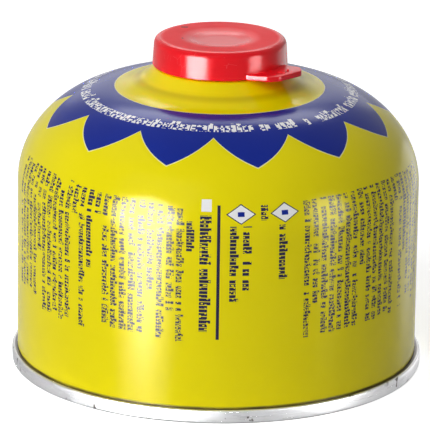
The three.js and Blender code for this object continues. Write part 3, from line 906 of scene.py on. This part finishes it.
class CANISTER_OT_stage(bpy.types.Operator):
    """Lays the floor, hangs the lights and sets up the camera."""

    bl_idname = "canister.stage"
    bl_label = "Stage"

    def execute(self, context):
        scene = context.scene
        scene.view_settings.view_transform = "Standard"
        self.camera(scene)
        self.floor()
        self.world(scene)
        self.soft_light("key_softbox", azimuth=-38, elevation=33, distance=1.6, size=(1.3, 1.1), power=20)
        self.soft_light("top_softbox", azimuth=-110, elevation=60, distance=1.6, size=(1.2, 0.9), power=3)
        # Cards for the reflections on the wall and the cap
        self.card("left_card", azimuth=-39, middle=0.068, distance=0.42, size=(0.27, 0.335), strength=55)
        self.card("left_low_card", azimuth=-39, middle=-0.09, distance=0.44, size=(0.24, 0.16), strength=7)
        self.card("right_card", azimuth=62, middle=0.068, distance=0.5, size=(0.2, 0.335), strength=17)
        self.card("right_edge_card", azimuth=135, middle=-0.04, distance=0.6, size=(0.46, 0.28), strength=1.7)
        self.card("rear_card", azimuth=180, middle=1.12, distance=1.2, size=(1.0, 0.7), strength=5)
        self.card("rear_low_card", azimuth=180, middle=0.4, distance=1.25, size=(1.0, 0.5), strength=1.3)
        return {"FINISHED"}

    def camera(self, scene):
        stage = scene.canister_stage
        data = bpy.data.cameras.new("camera")
        data.lens = stage.focal_length
        data.sensor_width = 36
        data.clip_end = 50
        camera = bpy.data.objects.new("camera", data)
        scene.collection.objects.link(camera)
        e = stage.camera_elevation
        back = Vector((0, -math.cos(e), math.sin(e)))
        right = Vector((1, 0, 0))
        up = back.cross(right)
        turned_right = right * math.cos(stage.camera_pan) + back * math.sin(stage.camera_pan)
        turned_back = back * math.cos(stage.camera_pan) - right * math.sin(stage.camera_pan)
        turn = Matrix((turned_right, up, turned_back)).transposed() @ Matrix.Rotation(stage.camera_roll, 3, "Z")
        place = back * stage.camera_distance + Vector((0, 0, stage.aim_height))
        camera.matrix_world = Matrix.Translation(place) @ turn.to_4x4()
        scene.camera = camera

    def floor(self):
        bm = bmesh.new()
        bmesh.ops.create_grid(bm, x_segments=8, y_segments=8, size=6)
        floor = finished("floor", bm)
        material, t, shader = new_material("pale_floor", Roughness=0.7)
        shader.inputs["Specular IOR Level"].default_value = 0.1
        cloud = t.noise(t.node("TexCoord").outputs["Object"], 2.0, 2)
        t.feed(shader.inputs["Base Color"], t.mix(cloud, (0.7, 0.7, 0.7, 1), (0.72, 0.72, 0.72, 1)))
        rays = t.node("LightPath")
        seen = t.math("MAXIMUM", rays.outputs["Is Camera Ray"], rays.outputs["Is Glossy Ray"])
        glow = t.node("Emission")
        t.feed(glow.inputs["Strength"], t.math("MULTIPLY", seen, 0.7))
        total = t.node("AddShader")
        t.feed(total.inputs[0], shader.outputs["BSDF"])
        t.feed(total.inputs[1], glow.outputs["Emission"])
        output = next(n for n in t.tree.nodes if n.type == "OUTPUT_MATERIAL")
        t.feed(output.inputs["Surface"], total.outputs[0])
        floor.data.materials.append(material)
        floor.visible_glossy = False

    def card(self, name, azimuth, middle, distance, size, strength):
        """A glowing round card that only shows in reflections, at an azimuth from the front."""
        bm = bmesh.new()
        bmesh.ops.create_circle(bm, cap_ends=True, segments=48, radius=0.5)
        stand = (Matrix.Rotation(math.radians(azimuth), 4, "Z")
                 @ Matrix.Translation((0, -distance, middle))
                 @ Matrix.Rotation(math.radians(90), 4, "X")
                 @ Matrix.Diagonal((*size, 1, 1)))
        bmesh.ops.transform(bm, verts=bm.verts, matrix=stand)
        card = finished(name, bm)
        material, t, shader = new_material(name)
        shader.inputs["Base Color"].default_value = (0, 0, 0, 1)
        shader.inputs["Specular IOR Level"].default_value = 0
        shader.inputs["Emission Color"].default_value = (1, 1, 1, 1)
        shader.inputs["Emission Strength"].default_value = strength
        material.cycles.emission_sampling = "NONE"
        card.data.materials.append(material)
        card.visible_camera = False
        card.visible_diffuse = False
        card.visible_shadow = False

    def world(self, scene):
        world = bpy.data.worlds.new("studio")
        scene.world = world
        world.use_nodes = True
        world.node_tree.nodes.clear()
        t = Tree(world.node_tree)
        rays = t.node("LightPath")
        seen = t.math("MAXIMUM", rays.outputs["Is Camera Ray"], rays.outputs["Is Transmission Ray"])
        seen = t.math("MAXIMUM", seen, t.math("MULTIPLY", rays.outputs["Is Glossy Ray"], 0.55))
        light = t.node("Background")
        light.inputs["Color"].default_value = (1, 1, 1, 1)
        t.feed(light.inputs["Strength"], t.ramp(seen, 0.0, 1.0, 0.2, 1.0))
        output = t.node("OutputWorld")
        t.feed(output.inputs["Surface"], light.outputs[0])

    def soft_light(self, name, azimuth, elevation, distance, size, power):
        """A rectangular lamp that faces the can, at an azimuth from the front towards the right."""
        data = bpy.data.lights.new(name, "AREA")
        data.shape = "RECTANGLE"
        data.size, data.size_y = size
        data.energy = power
        lamp = bpy.data.objects.new(name, data)
        lamp.visible_glossy = False
        bpy.context.scene.collection.objects.link(lamp)
        a, e = math.radians(azimuth), math.radians(elevation)
        out = Vector((math.sin(a) * math.cos(e), -math.cos(a) * math.cos(e), math.sin(e)))
        lamp.matrix_world = (Matrix.Translation(out * distance + Vector((0, 0, 0.05)))
                             @ out.to_track_quat("Z", "Y").to_matrix().to_4x4())


class CANISTER_PT_panel(bpy.types.Panel):
    """Lists the canister's pieces."""

    bl_label = "Canister"
    bl_idname = "CANISTER_PT_panel"
    bl_space_type = "VIEW_3D"
    bl_region_type = "UI"
    bl_category = "Canister"

    def draw(self, context):
        for operator in OPERATORS:
            self.layout.operator(operator.bl_idname)


SETTINGS = (CanisterShape, CanisterFinish, CanisterStage)
OPERATORS = (CANISTER_OT_materials, CANISTER_OT_can, CANISTER_OT_bottom_end, CANISTER_OT_valve,
             CANISTER_OT_cap, CANISTER_OT_stage)


def register():
    for item in (*SETTINGS, *OPERATORS, CANISTER_PT_panel):
        bpy.utils.register_class(item)
    bpy.types.Scene.canister_shape = bpy.props.PointerProperty(type=CanisterShape)
    bpy.types.Scene.canister_finish = bpy.props.PointerProperty(type=CanisterFinish)
    bpy.types.Scene.canister_stage = bpy.props.PointerProperty(type=CanisterStage)


def unregister():
    del bpy.types.Scene.canister_shape
    del bpy.types.Scene.canister_finish
    del bpy.types.Scene.canister_stage
    for item in reversed((*SETTINGS, *OPERATORS, CANISTER_PT_panel)):
        bpy.utils.unregister_class(item)


def main():
    register()
    bpy.ops.canister.materials()
    bpy.ops.canister.can()
    bpy.ops.canister.bottom_end()
    bpy.ops.canister.valve()
    bpy.ops.canister.cap()
    bpy.ops.canister.stage()


if __name__ == "__main__":
    main()
